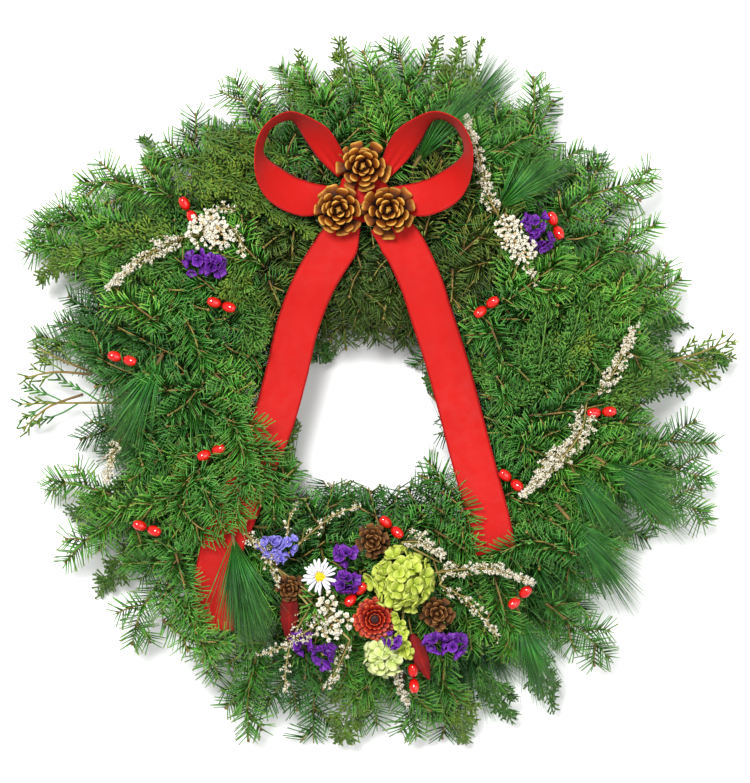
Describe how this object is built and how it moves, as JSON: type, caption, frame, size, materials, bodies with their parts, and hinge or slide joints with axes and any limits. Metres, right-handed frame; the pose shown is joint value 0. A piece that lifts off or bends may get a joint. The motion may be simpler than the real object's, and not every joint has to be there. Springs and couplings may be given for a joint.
{
  "type": "evergreen wreath",
  "caption": "Round fresh wreath of fir, white pine and cedar sprays on a wire ring, with a red ribbon bow, open cones, paired red berries and a posy of dried flowers.",
  "frame": {"origin": "under the middle of the whole wreath, on the surface that the ring's cross ties lie on", "axes": "+Z out of the wreath's front, +Y to its top as hung, +X to the right as seen from the front"},
  "size_m": [0.6712, 0.65, 0.132],
  "materials": {
    "frame": "dark green enamel",
    "binding": "green enamelled florist wire",
    "fir": "satin dark green needles",
    "pine": "satin long needles",
    "cedar": "yellow-green scale foliage",
    "ribbon": "matte red velvet",
    "cone": "dry golden brown scales",
    "cone_dark": "dry dark brown scales",
    "berry": "glossy red",
    "petal_white": "matte dried petals",
    "strawflower": "papery dried bracts",
    "hydrangea": "matte dried florets",
    "leaf_red": "matte dried leaf",
    "violet": "matte dried florets",
    "purple": "matte dried florets",
    "cream": "matte dried florets and buds"
  },
  "bodies": {
    "root": {"ring_frame": "frame", "binding_wire": "binding", "pine_bunch_01": "pine", "fir_bunch_02": "fir", "fir_bunch_03": "fir", "cedar_bunch_04": "cedar", "fir_bunch_05": "fir", "pine_bunch_06": "pine", "pine_bunch_07": "pine", "fir_bunch_08": "fir", "fir_bunch_09": "fir", "pine_bunch_10": "pine", "cedar_bunch_11": "cedar", "pine_bunch_12": "pine", "fir_bunch_13": "fir", "cedar_bunch_14": "cedar", "fir_bunch_15": "fir", "fir_bunch_16": "fir", "bow_loop_left": "ribbon", "bow_loop_right": "ribbon", "bow_tail_left": "ribbon", "bow_tail_right": "ribbon", "bow_knot": "ribbon", "pine_cone_1": "cone", "pine_cone_2": "cone", "pine_cone_3": "cone", "posy_cone_1": "cone_dark", "posy_cone_2": "cone_dark", "posy_cone_3": "cone_dark", "berry_pair_01": "berry", "berry_pair_02": "berry", "berry_pair_03": "berry", "berry_pair_04": "berry", "berry_pair_05": "berry", "berry_pair_06": "berry", "berry_pair_07": "berry", "berry_pair_08": "berry", "berry_pair_09": "berry", "berry_pair_10": "berry", "berry_pair_11": "berry", "berry_pair_12": "berry", "berry_pair_13": "berry", "daisy": "petal_white", "strawflower": "strawflower", "hydrangea": "hydrangea", "red_leaf": "leaf_red", "statice_violet": "violet", "statice_purple_top": "purple", "statice_purple_low": "purple", "statice_purple_right": "purple", "purple_bloom": "purple", "statice_left": "purple", "statice_right": "purple", "cream_florets": "cream", "dried_bunch_left": "cream", "dried_bunch_right": "cream", "heather_right": "cream", "posy_sprigs_left": "cream", "dried_sprig_upper": "cream", "dried_sprig_lower": "cream"}
  },
  "joints": []
}
